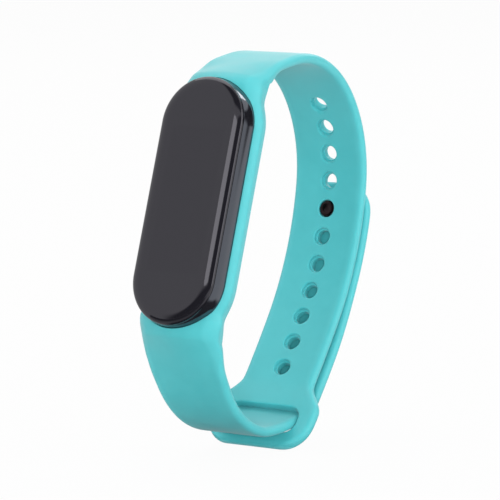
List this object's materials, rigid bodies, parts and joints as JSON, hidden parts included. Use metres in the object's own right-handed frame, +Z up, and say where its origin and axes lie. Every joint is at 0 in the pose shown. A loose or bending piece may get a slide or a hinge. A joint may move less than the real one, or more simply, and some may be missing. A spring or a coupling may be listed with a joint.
{
  "type": "fitness tracker band",
  "caption": "Soft wrist strap with a pocket that holds a slide-out capsule tracker, a row of holes, a keeper loop and a studded tail.",
  "frame": {"origin": "centre of the wrist opening, on the band's plane of symmetry", "axes": "+X across the strap, along the wrist's axis; -Y the side the screen faces; +Z up, with the capsule leaning back 18.8 degrees from it"},
  "size_m": [0.0226, 0.0611, 0.0737],
  "materials": {
    "turquoise_tpu": "soft matt moulded, rounded edges",
    "dark_steel": "dark plated",
    "cover_glass": "polished, printed black behind",
    "glossy_case": "polished",
    "matt_case": "fine satin",
    "adhesive": "matt",
    "touch_film": "clear film",
    "display": "unlit",
    "flex_film": "amber film",
    "solder_mask": "green lacquer",
    "sensor_mask": "blue lacquer",
    "chip": "moulded",
    "tape": "paper white",
    "battery_foil": "brushed foil",
    "motor_shell": "plain",
    "antenna": "plated",
    "lamp": "clear green",
    "photodiode": "dark",
    "sensor_window": "dark clear",
    "gold_contact": "gold plated",
    "magnet": "nickel plated"
  },
  "bodies": {
    "band": {"wristband": "turquoise_tpu"},
    "clasp_tail": {"strap_tail": "turquoise_tpu", "stud_pin": "dark_steel", "stud_cap": "dark_steel"},
    "tracker": {"cover_glass": "cover_glass", "upper_case": "glossy_case", "lower_case": "matt_case", "glass_adhesive": "adhesive", "case_seal": "adhesive", "light_baffle": "adhesive", "touch_film": "touch_film", "display_panel": "display", "display_flex": "flex_film", "sensor_flex": "flex_film", "main_board": "solder_mask", "sensor_board": "sensor_mask", "bluetooth_chip": "chip", "power_chip": "chip", "motion_chip": "chip", "battery_tape": "tape", "battery": "battery_foil", "vibration_motor": "motor_shell", "antenna": "antenna", "sensor_led_1": "lamp", "sensor_led_2": "lamp", "photodiode": "photodiode", "sensor_window": "sensor_window", "charge_contact_1": "gold_contact", "charge_contact_2": "gold_contact", "dock_magnet_1": "magnet", "dock_magnet_2": "magnet"}
  },
  "joints": [
    {"name": "tail_unfasten", "type": "hinge", "parent": "band", "child": "clasp_tail", "pos_m": [0, 0.01491, -0.0189], "axis": [-1, 0, 0], "range_deg": [0, 50], "stiffness_Nm_per_rad": 0.009},
    {"name": "tracker_slide_out", "type": "slide", "parent": "band", "child": "tracker", "axis": [0, -0.9466, 0.3223], "range_m": [0, 0.014]}
  ]
}
